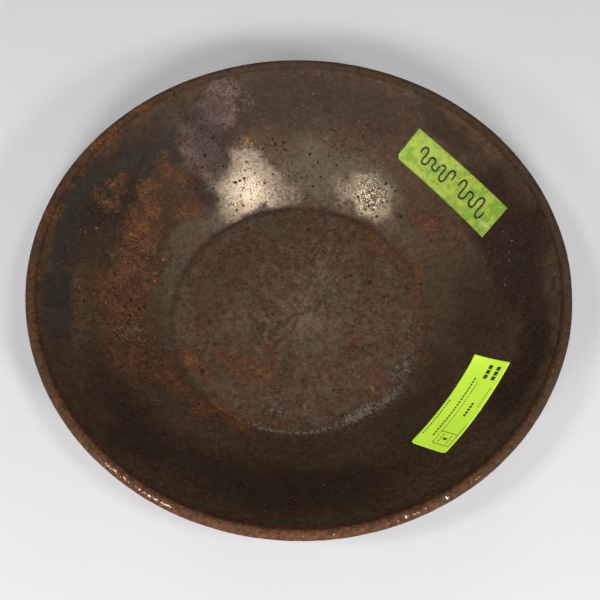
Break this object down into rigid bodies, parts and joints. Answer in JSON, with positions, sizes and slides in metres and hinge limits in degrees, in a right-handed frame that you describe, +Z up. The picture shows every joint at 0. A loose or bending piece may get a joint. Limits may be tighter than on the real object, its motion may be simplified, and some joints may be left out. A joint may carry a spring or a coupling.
{
  "type": "gold pan",
  "caption": "Shallow round sheet-steel pan with a flat floor, flaring wall and wired rim bead, for washing gravel by hand.",
  "frame": {"origin": "on the pan's axis, at the underside of the floor, which is what the pan rests on", "axes": "+Z up along the axis of revolution; X and Y are free, with both labels on the +X side of the wall"},
  "size_m": [0.3048, 0.3048, 0.06],
  "materials": {
    "pan_steel": "satin",
    "wire_steel": "satin",
    "green_tape": "matte",
    "neon_paper": "matte"
  },
  "bodies": {
    "root": {"pan_body": "pan_steel", "rim_wire": "wire_steel", "masking_tape_label": "green_tape", "lot_sticker": "neon_paper"}
  },
  "joints": []
}
